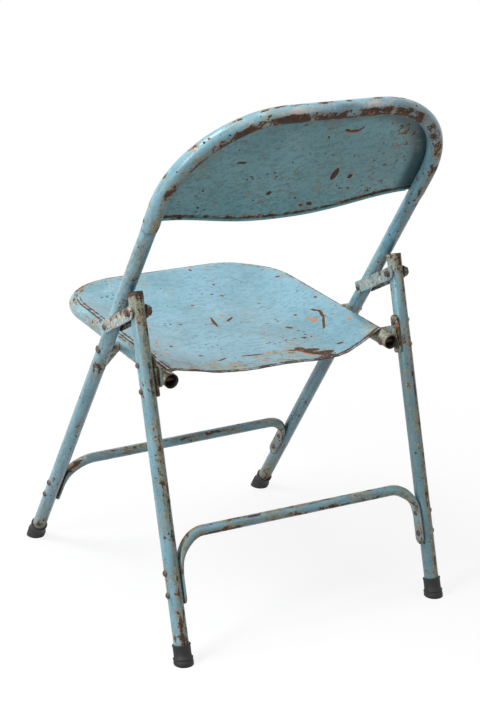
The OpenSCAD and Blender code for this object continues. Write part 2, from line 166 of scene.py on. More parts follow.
# %% [markdown]
# ## Paths
# Each tube follows a line in its own plane: a straight leg, an arch with two round
# corners, or a U. A path is a list of points with the direction to the outside of
# the bend beside each, so a ring can be laid square across it.

# %% Points along an arch
def both_sides(half, mirror=1):
    """Values from one side to the middle, and mirrored on to the other side."""
    half = np.array(half)
    return np.concatenate([half, half[-2::-1] * mirror])


def arch(half, corner, top, start, step):
    """Points (x, up) and outward directions, from one foot over to the other."""
    spots, outs = [], []
    run = top - corner
    for up in np.linspace(start, run, max(2, int((run - start) / step)))[:-1]:
        spots.append((half, up))
        outs.append((1, 0))
    steps = max(8, int(corner * math.pi / 2 / step))
    for turn in np.linspace(0, math.pi / 2, steps):
        spots.append((half - corner + corner * math.cos(turn), run + corner * math.sin(turn)))
        outs.append((math.cos(turn), math.sin(turn)))
    flat = half - corner
    for x in np.linspace(flat, 0, max(2, int(flat / step)))[1:]:
        spots.append((x, top))
        outs.append((0, 1))
    return both_sides(spots, (-1, 1)), both_sides(outs, (-1, 1))


def lengths(spots):
    """Distance along the path at each point."""
    steps = np.linalg.norm(np.diff(spots, axis=0), axis=1)
    return np.concatenate([[0], np.cumsum(steps)])


def rings_on(spots, outs, radius, angles):
    """Local points (x, behind, up) of rings round a path in the x, up plane.

    radius and angles are one for all rings, or differ from ring to ring.
    """
    out = radius * np.cos(angles)
    x = spots[:, None, 0] + out * outs[:, None, 0]
    up = spots[:, None, 1] + out * outs[:, None, 1]
    behind = radius * np.sin(angles) * np.ones((len(spots), 1))
    return np.stack([x, behind, up], -1)


def hollow_tube(outer, inner):
    """Points and quads of a tube open at both ends, from two sets of rings."""
    rings, around = outer.shape[:2]
    points = np.concatenate([outer.reshape(-1, 3), inner.reshape(-1, 3)])
    half = rings * around
    faces = ring_faces(rings, around) + ring_faces(rings, around, start=half, flip=True)
    for ring in (0, rings - 1):
        for j in range(around):
            k = (j + 1) % around
            a, b = ring * around + j, ring * around + k
            quad = (a, a + half, b + half, b)
            faces.append(quad if ring == 0 else quad[::-1])
    return points, faces


AROUND = 32
turns = np.linspace(0, FULL_TURN, AROUND, endpoint=False)

# %% [markdown]
# ## Finishes: shader maths as expressions
# A small class wraps a node's output, so masks can be written as sums and
# products. Everything else goes through one method that adds a node.

# %% Sockets as values
class Wire:
    """The output of a node, which sums and products join to more nodes."""

    def __init__(self, nodes, socket):
        self.nodes, self.socket = nodes, socket

    def maths(self, operation, a, b):
        return self.nodes.node("ShaderNodeMath", {"operation": operation}, {0: a, 1: b})

    def __add__(self, other):
        return self.maths("ADD", self, other)

    def __radd__(self, other):
        return self.maths("ADD", other, self)

    def __sub__(self, other):
        return self.maths("SUBTRACT", self, other)

    def __rsub__(self, other):
        return self.maths("SUBTRACT", other, self)

    def __mul__(self, other):
        return self.maths("MULTIPLY", self, other)

    def __rmul__(self, other):
        return self.maths("MULTIPLY", other, self)

    def most(self, other):
        return self.maths("MAXIMUM", self, other)

    def ramp(self, low, high, to_low=0.0, to_high=1.0):
        """Smooth step from to_low below low to to_high above high."""
        return self.nodes.node("ShaderNodeMapRange", {"interpolation_type": "SMOOTHSTEP"},
                               {"Value": self, "From Min": low, "From Max": high,
                                "To Min": to_low, "To Max": to_high})


class Nodes:
    """The nodes of one material or world."""

    def __init__(self, tree):
        self.tree = tree

    def node(self, kind, settings=None, inputs=None, out=0):
        made = self.tree.nodes.new(kind)
        for key, value in (settings or {}).items():
            setattr(made, key, value)
        for key, value in (inputs or {}).items():
            self.put(made.inputs[key], value)
        return made if out is None else Wire(self, made.outputs[out])

    def put(self, socket, value):
        if isinstance(value, Wire):
            self.tree.links.new(value.socket, socket)
        else:
            socket.default_value = value


class Finish(Nodes):
    """One material: a Principled shader and whatever feeds it."""

    def __init__(self, name, on_skin=False):
        self.material = bpy.data.materials.new(name)
        self.material.use_nodes = True
        super().__init__(self.material.node_tree)
        self.shader = self.tree.nodes["Principled BSDF"]
        if on_skin:
            self.place = self.node("ShaderNodeAttribute", {"attribute_name": "skin"}, out="Vector")
        else:
            self.place = self.node("ShaderNodeTexCoord", out="Object")

    def noise(self, scale, detail=4.0, rough=0.55, stretch=None, shift=0.0, warp=0.0):
        """Noise in 0 to 1 over the row frame; stretch scales the axes."""
        where = self.place
        if stretch or shift:
            where = self.node("ShaderNodeMapping", None,
                              {"Vector": where, "Scale": stretch or (1, 1, 1),
                               "Location": (shift, -shift, shift * 0.7)})
        return self.node("ShaderNodeTexNoise", None,
                         {"Vector": where, "Scale": scale, "Detail": detail,
                          "Roughness": rough, "Distortion": warp})

    def flecks(self, scale, shift=0.0, stretch=(1, 1, 1)):
        """Distance to scattered points, 0 at a point; stretch draws the dots out."""
        where = self.node("ShaderNodeMapping", None,
                          {"Vector": self.place, "Location": (shift, shift, -shift),
                           "Scale": stretch})
        return self.node("ShaderNodeTexVoronoi", None,
                         {"Vector": where, "Scale": scale, "Randomness": 1.0}, out="Distance")

    def painted_in(self, key):
        """A number that the mesh carries on its points."""
        return self.node("ShaderNodeAttribute", {"attribute_name": key}, out="Fac")

    def mix(self, mask, under, over):
        return self.node("ShaderNodeMix", {"data_type": "RGBA"},
                         {"Factor": mask, 6: under, 7: over}, out=2)

    def between(self, low, high, mask):
        """low where mask is 0, high where it is 1, for single numbers."""
        return low + (high - low) * mask

    def wear(self, **sockets):
        """Feeds the shader; an underscore stands for a space in a socket's name."""
        for key, value in sockets.items():
            self.put(self.shader.inputs[key.replace("_", " ")], value)

    def relief(self, height, strength, distance):
        bump = self.node("ShaderNodeBump", None,
                         {"Height": height, "Strength": strength, "Distance": distance})
        self.put(self.shader.inputs["Normal"], bump)


def rgb(red, green, blue):
    """A display colour of 0 to 255 as the linear colour that shaders use."""
    def lin(v):
        v /= 255
        return v / 12.92 if v <= 0.04045 else ((v + 0.055) / 1.055) ** 2.4
    return (lin(red), lin(green), lin(blue), 1.0)


# %% [markdown]
# ## The paint
# Sky-blue enamel over a yellowish primer over steel. Where it has chipped, dark
# brown rust shows, with a thin pale rim of primer round each chip and a bright
# orange bloom in places. Grime lies in streaks. Each mesh says how worn it is at
# each point, and where highlight or shade is painted into the colour, and noise
# decides exactly where the paint has gone.

# %% Colours
BLUE = rgb(129, 172, 186)
BLUE_DEEP = rgb(106, 152, 168)
BLUE_DARK = rgb(66, 98, 104)
BLUE_PALE = rgb(160, 188, 190)
PRIMER = rgb(166, 160, 130)
STAIN = rgb(176, 172, 118)
GRIME = rgb(98, 90, 68)
RUST_DARK = rgb(48, 34, 28)
RUST_BROWN = rgb(88, 58, 42)
RUST_BLACK = rgb(20, 16, 14)
RUST_ORANGE = rgb(168, 104, 58)
BARE = rgb(196, 186, 180)
SPOT_ORANGE = rgb(190, 116, 46)


def paint(name, chips=0.0, grime=0.0, worn=0.0, carried=False, run=(1, 1, 1), gloss=0.34,
          mottle=0.45, specks=0.22, blue=BLUE, deep=BLUE_DEEP):
    """Peeling paint. chips and grime add wear all over; carried reads the mesh.

    run stretches the streaks: a small number draws them out along that axis.
    """
    f = Finish(name, on_skin=carried)
    rust_bias = f.painted_in("rust") * 1.9 if carried else 0.0
    dirt_bias = f.painted_in("dirt") * 1.8 if carried else 0.0
    rub_and_painted_light = f.painted_in("pale") + worn if carried else worn
    mark = f.painted_in("mark") if carried else FAR
    spot = f.painted_in("spot") if carried else FAR

    broad = f.noise(9.0, 3.0)
    fine = f.noise(210.0, 6.0, 0.75)
    ragged = f.noise(70.0, 9.0, 0.74, shift=3.1, warp=0.3)
    blotch = f.noise(24.0, 6.0, 0.65, shift=7.7)
    cloud = f.noise(52.0, 8.0, 0.75, shift=1.3)
    streak = f.noise(170.0, 6.0, 0.7, stretch=run, shift=4.4)

    base = f.mix(broad.ramp(0.35, 0.65), blue, deep)
    # Paler paint where it is rubbed, and where the mesh carries a painted highlight.
    base = f.mix(((blotch - 0.5) * 1.6 + rub_and_painted_light).ramp(0.10, 0.70), base, BLUE_PALE)
    base = f.mix((fine + streak - 1.0).ramp(-0.10, 0.20) * mottle, base, BLUE_DARK)
    if carried:
        # Painted shade: where the mesh's pale is below zero, the paint is darkened towards
        # BLUE_DARK.
        base = f.mix((0.0 - rub_and_painted_light).ramp(0.0, 0.6), base, BLUE_DARK)
    dirt = (cloud * 0.5 + streak * 0.5 - 0.58 + grime + dirt_bias).ramp(-0.05, 0.15)
    base = f.mix(dirt * 0.85, base, f.mix(fine.ramp(0.42, 0.58), GRIME, PRIMER))
    yolk = (blotch * 0.4 + streak * 0.6 + dirt_bias * 0.5).ramp(0.60, 0.68)
    base = f.mix(yolk * 0.55, base, STAIN)
    # Rubbed bare paint, which on the wrapped top bar is also a painted highlight.
    rubbed = ((cloud + fine - 1.0) * 0.9 + rub_and_painted_light).ramp(0.27, 0.42)
    base = f.mix(rubbed * 0.85, base, BARE)

    level = ragged - 0.5 + (fine - 0.5) * 0.5 + (streak - 0.5) * 0.4 + rust_bias + chips
    speck_size = f.noise(26.0, 2.0, shift=5.0).ramp(0.38, 0.72, 0.0, specks)
    dots = (speck_size - f.flecks(120.0, 0.3)).ramp(0.0, 0.03)
    drawn_out = (0.4, 1, 1) if run == (1, 1, 1) else run
    dashes = (speck_size - f.flecks(80.0, 2.3, drawn_out)).ramp(0.06, 0.09)
    scratch = (fine - 0.5) * 3.5 + (ragged - 0.5) * 6.0 - mark
    bloomed = ((fine - 0.5) * 7.0 + (ragged - 0.5) * 9.0 + 0.9 - spot).ramp(-0.2, 0.3)
    chip = level.ramp(0.165, 0.18).most(dots).most(dashes).most(scratch.ramp(-0.1, 0.25))
    rim = level.ramp(0.125, 0.165).most(scratch.ramp(-0.9, -0.3)) * (1.0 - chip)
    base = f.mix(rim * 0.75, base, f.mix(cloud.ramp(0.5, 0.6), PRIMER, RUST_ORANGE))

    rust = f.mix(fine.ramp(0.42, 0.62), RUST_DARK, RUST_BROWN)
    bloom = f.noise(60.0, 3.0, shift=9.0).ramp(0.57, 0.66)
    rust = f.mix(bloom * (1.0 - level.ramp(0.24, 0.34)), rust, RUST_ORANGE)
    # Near black where rust is heaviest; inside the tubes it is painted shade as well.
    rust = f.mix(rust_bias.ramp(0.6, 0.9), rust, RUST_BLACK) if carried else rust
    base = f.mix(bloomed, base, f.mix(fine.ramp(0.45, 0.6), SPOT_ORANGE, RUST_ORANGE))
    f.wear(Base_Color=f.mix(chip, base, rust),
           Roughness=f.between(gloss + 0.25 * dirt + 0.15 * blotch - 0.1, 0.75, chip),
           Coat_Weight=(1.0 - chip) * 0.15, Coat_Roughness=0.15, Specular_IOR_Level=0.45)
    f.relief((1.0 - chip) * 0.7 + fine * 0.3 + blotch * 0.5, 0.5, 0.0008)
    return f.material


# %% Finishes for each kind of piece
tube_paint = paint("tube_paint", chips=0.03, grime=0.06, carried=True, run=(1, 1, 0.14), gloss=0.26,
                   mottle=0.65, specks=0.28)
# The backrest sheet and hinge plates use a brighter, more cyan copy of the blue: painted light that
# lifts the backrest where it lies in shade.
sheet_paint_with_painted_light = paint("sheet_paint_with_painted_light", grime=-0.03, carried=True, run=(0.5, 1, 1), gloss=0.42,
                    mottle=0.62, specks=0.26, blue=rgb(126, 184, 192), deep=rgb(108, 166, 174))
wrap_paint = paint("wrap_paint", carried=True, run=(0.3, 1, 1), specks=0.27)
seat_paint = paint("seat_paint", grime=-0.01, carried=True, run=(0.4, 1, 1), mottle=0.46,
                   specks=0.27, blue=rgb(122, 168, 186))
plate_paint = paint("plate_paint", chips=0.07, grime=0.17)
link_paint = paint("link_paint", grime=0.03, worn=0.24, carried=True)


def worn_steel():
    f = Finish("worn_steel")
    mottled = f.noise(210.0, 6.0, 0.7)
    colour = f.mix(mottled.ramp(0.35, 0.6), rgb(46, 36, 30), rgb(98, 80, 70))
    colour = f.mix(f.noise(90.0, 3.0, shift=2.0).ramp(0.62, 0.74), colour, BLUE_DEEP)
    f.wear(Base_Color=colour, Metallic=mottled.ramp(0.4, 0.7) * 0.7,
           Roughness=0.62 - 0.25 * mottled)
    f.relief(mottled, 0.4, 0.0004)
    return f.material


def old_rubber():
    f = Finish("old_rubber")
    dust = f.noise(120.0, 6.0, 0.7)
    f.wear(Base_Color=f.mix(dust.ramp(0.55, 0.8), rgb(24, 24, 26), rgb(60, 56, 50)),
           Roughness=0.7 - 0.1 * dust)
    f.relief(dust, 0.3, 0.0004)
    return f.material


steel_finish = worn_steel()
rubber_finish = old_rubber()
print("finishes:", [m.name for m in bpy.data.materials])

# %% Finish for every CAD node that is shown as it is
for name, node in frame["nodes"].items():
    finish = plate_paint
    if "tip" in name:
        finish = rubber_finish
    elif any(word in name for word in ("rivet", "bolt", "nut", "pin_")):
        finish = steel_finish
    node.data.materials.clear()
    node.data.materials.append(finish)

# %% [markdown]
# ## Wear as numbers on the mesh
# Wear is not even: it follows ridges, ends and undersides, and a few scratches sit
# in known places. Each point of a mesh gets five numbers: `rust`, how likely paint
# is to be gone, which in a few dark lines and inside the tubes is painted shade as
# well; `dirt`, how grimy it is; `pale`, how rubbed and light, which in places is a
# painted highlight, and below zero is painted shade that darkens the paint; and
# `mark` and `spot`, the distance in millimetres to the nearest scratch and orange
# bloom. The finish reads them all.

# %% Wear helpers
def bump_at(value, centre, width):
    """A soft bump of height 1 at centre, gone a width away."""
    t = np.clip(np.abs(np.asarray(value, float) - centre) / width, 0, 1)
    return 1 - t * t * (3 - 2 * t)


def step_at(value, low, high):
    """0 below low, 1 above high, smooth between."""
    t = np.clip((np.asarray(value, float) - low) / (high - low), 0, 1)
    return t * t * (3 - 2 * t)


def scratches(across, along, marks):
    """Distance in mm to the nearest of marks (x0, y0, x1, y1, half width), all in mm."""
    best = np.full(len(across), FAR)
    p = np.stack([across, along], -1) / MM
    for x0, y0, x1, y1, half in marks:
        a, b = np.array([x0, y0], float), np.array([x1, y1], float)
        run = b - a
        t = np.clip((p - a) @ run / max(run @ run, 1e-9), 0, 1)
        gap = np.linalg.norm(p - a - t[:, None] * run, axis=1)
        best = np.minimum(best, gap - half * (0.45 + 0.55 * np.sqrt(4 * t * (1 - t) + 0.02)))
    return best


def wear_of(count, rust=0.0, dirt=0.0, pale=0.0, mark=FAR, spot=FAR):
    """The wear numbers for every point of a mesh."""
    values = {"rust": rust, "dirt": dirt, "pale": pale, "mark": mark, "spot": spot}
    return {key: value * np.ones(count) for key, value in values.items()}


def two_layers(first, second):
    """The wear of two faces of one mesh, one after the other."""
    return {key: np.concatenate([first[key], second[key]]) for key in first}


def on_rings(spots, angles):
    """Distance along and angle round, for every point of the rings."""
    return np.repeat(spots, len(angles)), np.tile(angles, len(spots))


def tube_piece(name, body, node, path, angles, matrix, wear, shift=0.0, dent=0.0):
    """A hollow tube on a path; wear is for the points of its outer rings.

    The skin is each point's place on the tube drawn out straight: across, across,
    along.
    """
    points, faces = hollow_tube(rings_on(*path, TUBE_R - dent, angles),
                                rings_on(*path, TUBE_BORE - dent, angles))
    along, angle = on_rings(lengths(path[0]) + shift, angles)
    skin = np.stack([TUBE_R * np.cos(angle), TUBE_R * np.sin(angle), along], -1)
    # Inside, the bore is rust made near black: rust, and painted shade in the hollow.
    inside = wear_of(len(skin), rust=0.5, dirt=0.1)
    mesh_piece(name, body, [node], placed(matrix, points), faces, tube_paint,
               two_layers(wear, inside), np.concatenate([skin, skin]))


# %% [markdown]
# ## The main frame tube
# One tube makes both front legs and the hoop of the back. Below the wrapped sheet
# it shows bare paint, grimy at the rear and rubbed on its upper side.

# %% Main frame tube
DENT_X = -0.018
LEG_START = 0.0145

spots, outs = arch(LEG_X, BACK_CORNER, BACK_LEN, LEG_START, 0.006)
on_top_bar = spots[:, 1] > BACK_LEN - MM
dent = (0.0027 * bump_at(spots[:, 0], DENT_X, 0.018) * on_top_bar)[:, None]
outer = rings_on(spots, outs, TUBE_R - dent, turns)
up, angle = on_rings(spots[:, 1], turns)
side = np.repeat(np.sign(spots[:, 0]), AROUND)
patch = noise_at(outer.reshape(-1, 3), 14.0, 2.0)
rearward = np.clip(np.sin(angle), 0, 1)
frame_wear = wear_of(
    len(up),
    rust=-0.015 + 0.05 * rearward * (0.5 + patch) + 0.03 * bump_at(up, SEAT_PIVOT_UP, 0.05)
    + 0.035 * bump_at(up, 0.03, 0.04) + 0.03 * bump_at(up, 0.14, 0.05),
    dirt=-0.025 + 0.07 * rearward * np.clip(0.3 + patch, 0, 1) + 0.06 * bump_at(up, 0.04, 0.08),
    pale=0.10 + 0.16 * bump_at(np.cos(angle) * side, 0.7, 0.8) * bump_at(up, 0.58, 0.16))
tube_piece("main_tube", "front_frame", "main_frame_tube", (spots, outs), turns, FRONT,
           frame_wear, dent=dent)

# %% [markdown]
# ## The backrest
# A single sheet. It lies flat across the front of the hoop, then wraps round the
# outside of the tube and ends behind it in a ragged, rusty edge. It is built as a
# wrapped strip that follows the hoop, a slightly uneven flat sheet, and a turned
# bead along the curved lower edge.

# %% The wrapped strip
SHEET_T = 0.0011
WRAP_IN = TUBE_R + 0.0001
WRAP_START_UP = 0.757
WRAP_END = math.radians(135)
WRAP_STEPS = 26

spots, outs = arch(LEG_X, BACK_CORNER, BACK_LEN, WRAP_START_UP, 0.004)
walk = lengths(spots)
rough = noise_along(walk, 60, 4.0)
edge_turn = WRAP_END + 0.10 * rough + 0.05 * noise_along(walk, 230, 9.0) - 0.06
share = np.linspace(0, 1, WRAP_STEPS)
angles = -math.pi / 2 + share[None, :] * (edge_turn[:, None] + math.pi / 2)
lift = 0.0007 * step_at(share, 0.86, 1.0)[None, :] * (0.7 + rough[:, None])
on_top_bar = spots[:, 1] > BACK_LEN - MM
dent = 0.0028 * bump_at(spots[:, 0], DENT_X, 0.019) * on_top_bar
dent = dent[:, None] * bump_at(angles, 0.9, 0.9)


def two_sided(first, second):
    """A closed thin sheet from two matching grids of local points."""
    rows, columns = first.shape[:2]
    points = np.concatenate([first.reshape(-1, 3), second.reshape(-1, 3)])
    half = rows * columns
    faces = ring_faces(rows, columns, closed=False)
    faces += ring_faces(rows, columns, closed=False, start=half, flip=True)
    for j in range(columns - 1):
        faces.append((j + 1, j, j + half, j + 1 + half))
        k = (rows - 1) * columns + j
        faces.append((k, k + 1, k + 1 + half, k + half))
    for i in range(rows - 1):
        a, b = i * columns, (i + 1) * columns
        faces.append((a, b, b + half, a + half))
        a, b = a + columns - 1, b + columns - 1
        faces.append((b, a, a + half, b + half))
    return points, faces


from_end = np.minimum(walk, walk[-1] - walk)
crimp = (1 - 0.75 * (1 - step_at(from_end, 0.0, 0.016)))[:, None]
strip_out = rings_on(spots, outs, WRAP_IN + SHEET_T * crimp + lift * 0.3 - dent, angles)
strip_in = rings_on(spots, outs, WRAP_IN + lift * 0.3 - dent, angles)
strip, strip_faces = two_sided(strip_out, strip_in)

walk_grid = np.repeat(walk / walk[-1], WRAP_STEPS)
turn_grid = angles.reshape(-1)
share_grid = np.tile(share, len(spots))
patch = noise_at(strip_out.reshape(-1, 3), 22.0, 5.0)
patch2 = noise_at(strip_out.reshape(-1, 3), 60.0, 8.0)
top_bar = bump_at(walk_grid, 0.5, 0.24)
near_edge = step_at(share_grid, 0.80, 0.97)
belt = step_at(turn_grid, 0.72, 1.05) * (1 - step_at(turn_grid, 1.85, 2.3))
crown = bump_at(turn_grid, -0.35, 0.6)
arm = bump_at(walk_grid, 0.5, 0.62)
strip_rust = (-0.02 + near_edge * (0.05 + 0.08 * patch)
              + belt * (0.120 * arm + 0.035 * top_bar + 0.10 * patch + 0.08 * patch2)
              + crown * (0.060 + 0.055 * top_bar + 0.17 * patch2))
# Paler paint round the wrap, and a painted highlight along the top bar on the face turned a little
# to the rear, about 0.6 rad round from its top.
strip_pale_and_highlight = (0.12 + 0.50 * bump_at(turn_grid, 0.60, 0.60) * top_bar * np.clip(0.6 + patch, 0, 1)
              + 0.08 * bump_at(turn_grid, 0.3, 1.0))
strip_dirt = 0.02 + 0.07 * belt + 0.06 * patch2
strip_wear_and_highlight = wear_of(len(turn_grid), rust=strip_rust, pale=strip_pale_and_highlight, dirt=strip_dirt)

# %% The flat sheet behind the sitter's back
LOW_MID, LOW_SIDE = 0.734, 0.760


def panel_low(x):
    """Height of the lower edge: a soft drop from the legs to the middle."""
    t = np.minimum(np.abs(x) / LEG_IN, 1) ** 1.2
    return LOW_MID + (LOW_SIDE - LOW_MID) * (1 - np.cos(math.pi * t)) / 2


def panel_top(x):
    """Height of the hoop's axis above each x."""
    over = np.maximum(np.abs(x) - (LEG_X - BACK_CORNER), 0)
    return ARCH_UP + np.sqrt(np.maximum(BACK_CORNER ** 2 - over ** 2, 0))


COLUMNS, ROWS = 190, 74
x = np.linspace(-LEG_X, LEG_X, COLUMNS)
v = np.linspace(0, 1, ROWS)
low, high = panel_low(x), panel_top(x)
px = np.repeat(x[:, None], ROWS, 1)
pz = low[:, None] + v[None, :] * (high - low)[:, None]
hem = np.minimum(np.minimum(pz - low[:, None], high[:, None] - pz), LEG_X - np.abs(px)) / 0.04
calm = step_at(hem, 0.25, 1.2)
flat = np.stack([px, 0 * px, pz], -1).reshape(-1, 3)
ripple = noise_at(flat, 9.0, 6.0).reshape(px.shape)
small = noise_at(flat, 30.0, 1.0).reshape(px.shape)
sag = calm * (0.0016 + 0.0013 * ripple + 0.00025 * small)
rear_face = np.stack([px, -WRAP_IN + sag, pz], -1)
front_face = np.stack([px, -WRAP_IN - SHEET_T + sag, pz], -1)
sheet, sheet_faces = two_sided(rear_face, front_face)

# Scratches on the rear of the sheet in mm: two ends as x, up pairs, then half the width
panel_marks = [
    (-44, 904, -54, 899, 2.0), (-54, 899, -68, 899, 2.5), (-68, 899, -76, 906, 1.9),
    (-62, 825, -60, 807, 5.6), (-92, 808, -88, 806, 5.1), (115, 860, 96, 858, 2.3),
    (41, 791, 36, 791, 4.5), (-24, 757, -33, 754, 2.9), (-37, 760, -46, 754, 3.1),
    (114, 900, 114, 901, 2.3), (117, 883, 117, 884, 2.0), (-171, 879, -170, 884, 2.0),
    (-166, 860, -168, 862, 2.2), (-21, 894, -22, 891, 1.9), (60, 820, 58, 818, 1.6),
    (-120, 836, -122, 833, 1.8), (20, 850, 21, 848, 1.6), (150, 812, 149, 809, 2.0),
    (-10, 775, -13, 772, 1.8), (-100, 780, -96, 783, 1.7)]
panel_spots = [(-46, 902, -54, 897, 2.0), (-56, 897, -70, 899, 1.6), (-92, 812, -92, 804, 2.0)]
flat_x, flat_up = px.reshape(-1), pz.reshape(-1)
panel_mark = scratches(flat_x, flat_up, panel_marks)
over_x = np.abs(flat_x) - (LEG_X - BACK_CORNER)
over_up = flat_up - ARCH_UP
round_gap = BACK_CORNER - np.hypot(over_x, over_up)
straight_gap = np.minimum(LEG_X - np.abs(flat_x), BACK_LEN - flat_up)
tube_mm = (np.where((over_x > 0) & (over_up > 0), round_gap, straight_gap) - TUBE_R) / MM
low_mm = (flat_up - np.repeat(low, ROWS)) / MM
patch = noise_at(flat, 12.0, 12.0)
smear = noise_at(flat * np.array([3.0, 1, 1]), 30.0, 3.0)
# Rust, and two dark lines that are painted shade as well: one about 6.5 mm in from the hoop on the
# left and top, where the sheet meets the wrapped tube, and one just above the bead on the lower
# edge.
sheet_rust_and_painted_shade = (-0.005 + 0.03 * patch + 0.14 * bump_at(tube_mm, 6.5, 4.5) * (flat_x > -0.08)
              + 0.19 * bump_at(low_mm, 7.0, 3.4)
              + 0.05 * bump_at(flat_up, 0.79, 0.05) * np.clip(smear, 0, 1)
              + 0.05 * bump_at(flat_x, -0.15, 0.05))
sheet_dirt = (0.02 + 0.06 * patch + 0.05 * smear + 0.08 * bump_at(low_mm, 0.0, 18.0)
              + 0.05 * bump_at(flat_x, -0.03, 0.05) * bump_at(flat_up, 0.9, 0.05))
# Painted shade: the sheet darkened next to the hoop, out to about 34 mm, most on the right side.
painted_shade_by_tube = -0.80 * bump_at(tube_mm, 0.0, 34.0) * (0.35 + 0.65 * (flat_x < 0))
rear_wear_and_shade = wear_of(len(flat_x), rust=sheet_rust_and_painted_shade, dirt=sheet_dirt, pale=painted_shade_by_tube, mark=panel_mark,
                    spot=scratches(flat_x, flat_up, panel_spots))
front_wear = wear_of(len(flat_x), rust=0.005 + 0.05 * patch, dirt=0.01 + 0.06 * smear)
sheet_wear_and_shade = two_layers(rear_wear_and_shade, front_wear)

# %% The turned bead on the lower edge
BEAD_HALF, BEAD_DEEP, BEAD_UP, BEAD_AROUND = LEG_IN - MM, 0.0017, 0.0024, 14
bead_x = np.linspace(-BEAD_HALF, BEAD_HALF, 130)
bead_turns = np.linspace(0, FULL_TURN, BEAD_AROUND, endpoint=False)[None, :]
bead_along = np.repeat(bead_x[:, None], BEAD_AROUND, 1)
bead_behind = BEAD_DEEP * (1 + np.cos(bead_turns)) - WRAP_IN - SHEET_T / 2
bead_up = panel_low(bead_along) + BEAD_UP * (1 + np.sin(bead_turns))
bead_rings = np.stack([bead_along, bead_behind + 0 * bead_along, bead_up], -1)


def capped(rings):
    """A solid rod from rings, closed with a point at each end."""
    count, around = rings.shape[:2]
    points = np.concatenate([rings.reshape(-1, 3), rings[0].mean(0)[None], rings[-1].mean(0)[None]])
    faces = ring_faces(count, around)
    last = count * around
    for j in range(around):
        k = (j + 1) % around
        faces.append((k, j, last))
        faces.append((last - around + j, last - around + k, last + 1))
    return points, faces


bead, bead_faces = capped(bead_rings)
bead_wear = wear_of(len(bead), rust=0.015 + 0.10 * noise_at(bead, 25.0, 3.0), dirt=0.03, pale=0.1)


def joined(parts):
    """Several (points, faces, wear) as one mesh."""
    points, faces, wear, start = [], [], {}, 0
    for more, quads, worn in parts:
        points.append(more)
        faces += [tuple(i + start for i in q) for q in quads]
        start += len(more)
        for key, values in worn.items():
            wear.setdefault(key, []).append(values)
    return np.concatenate(points), faces, {k: np.concatenate(v) for k, v in wear.items()}


points, faces, wear = joined([(strip, strip_faces, two_layers(strip_wear_and_highlight, strip_wear_and_highlight)),
                              (sheet, sheet_faces, sheet_wear_and_shade),
                              (bead, bead_faces, bead_wear)])
walk_x = np.repeat(walk, WRAP_STEPS)
strip_skin = np.stack([walk_x, 0.012 * turn_grid + 3.0, 0 * walk_x], -1)
skin = np.concatenate([strip_skin, strip_skin, sheet, bead])
backrest = mesh_piece("backrest", "front_frame", ["backrest_panel"], placed(FRONT, points), faces,
                      sheet_paint_with_painted_light, wear, skin)
backrest.data.materials.append(wrap_paint)
backrest.data.polygons.foreach_set(
    "material_index", [1] * len(strip_faces) + [0] * (len(faces) - len(strip_faces)))

# %% [markdown]
# ## The seat
# The seat is a U of tube with open rear ends, and a sheet welded on top of it that
# is pressed into a shallow dish. Its rear edge hangs free and has rusted and bent.

# %% Seat tube
# The arch helper runs up and over; here "up" is the way to the front of the seat.
QUARTER_TURN = Matrix.Rotation(math.pi / 2, 4, "X")
FORWARD = SEAT @ QUARTER_TURN
spots, outs = arch(SEAT_X, SEAT_CORNER, SEAT_FRONT, -SEAT_BACK, 0.006)
outer = rings_on(spots, outs, TUBE_R, turns)
ahead, angle = on_rings(spots[:, 1], turns)
patch = noise_at(outer.reshape(-1, 3), 20.0, 7.0)
seat_wear = wear_of(
    len(ahead),
    rust=0.04 * patch + 0.12 * bump_at(ahead, -SEAT_BACK, 0.006)
    + 0.09 * bump_at(angle, 1.2, 0.5) * np.clip(0.6 + patch, 0, 1),
    dirt=0.02 + 0.06 * patch + 0.08 * bump_at(angle, 4.7, 1.0)
    + 0.10 * bump_at(ahead, -SEAT_BACK, 0.09),
    pale=0.18 * bump_at(angle, 0.3, 1.0))
tube_piece("seat_tube", "seat", "seat_frame_tube", (spots, outs), turns, FORWARD, seat_wear,
           shift=4.0)

# %% Seat sheet
SEAT_T, RIM = 0.0012, 0.012
DISH, FLOOR_HALF, FLOOR_FRONT = 0.020, 0.110, 0.110
EDGE_LEFT, EDGE_RIGHT, EDGE_ROUND = 0.142, 0.121, 0.080
SEAT_COLUMNS, SEAT_ROWS = 200, 170


def half_width(back_at):
    """Half the sheet's width: narrower round the two front corners."""
    ahead = np.maximum(-back_at - (SEAT_FRONT - SEAT_CORNER), 0)
    return SEAT_X - SEAT_CORNER + np.sqrt(np.maximum(SEAT_CORNER ** 2 - ahead ** 2, 0))


def rear_edge(x_at):
    """How far back the sheet's rear edge is, worn round at the right."""
    t = np.clip((EDGE_ROUND - SEAT_X - x_at) / EDGE_ROUND, 0, 1)
    return EDGE_LEFT - (EDGE_LEFT - EDGE_RIGHT) * t * t


def smooth_least(a, b, soft):
    """The lesser of two values, rounded where they are closer than soft."""
    h = np.clip(0.5 + 0.5 * (b - a) / soft, 0, 1)
    return b * (1 - h) + a * h - soft * h * (1 - h)


def dish_depth(x_at, back_at):
    """Depth below the rim at a point of the seat."""
    wall = (SEAT_X - RIM - np.abs(x_at)) / (SEAT_X - RIM - FLOOR_HALF)
    front = (back_at + SEAT_FRONT - RIM) / (SEAT_FRONT - RIM - FLOOR_FRONT)
    share = smooth_least(smooth_least(wall, front, 0.35), 1.0 + 0 * wall, 0.22)
    return DISH * np.clip(share, 0, 1)


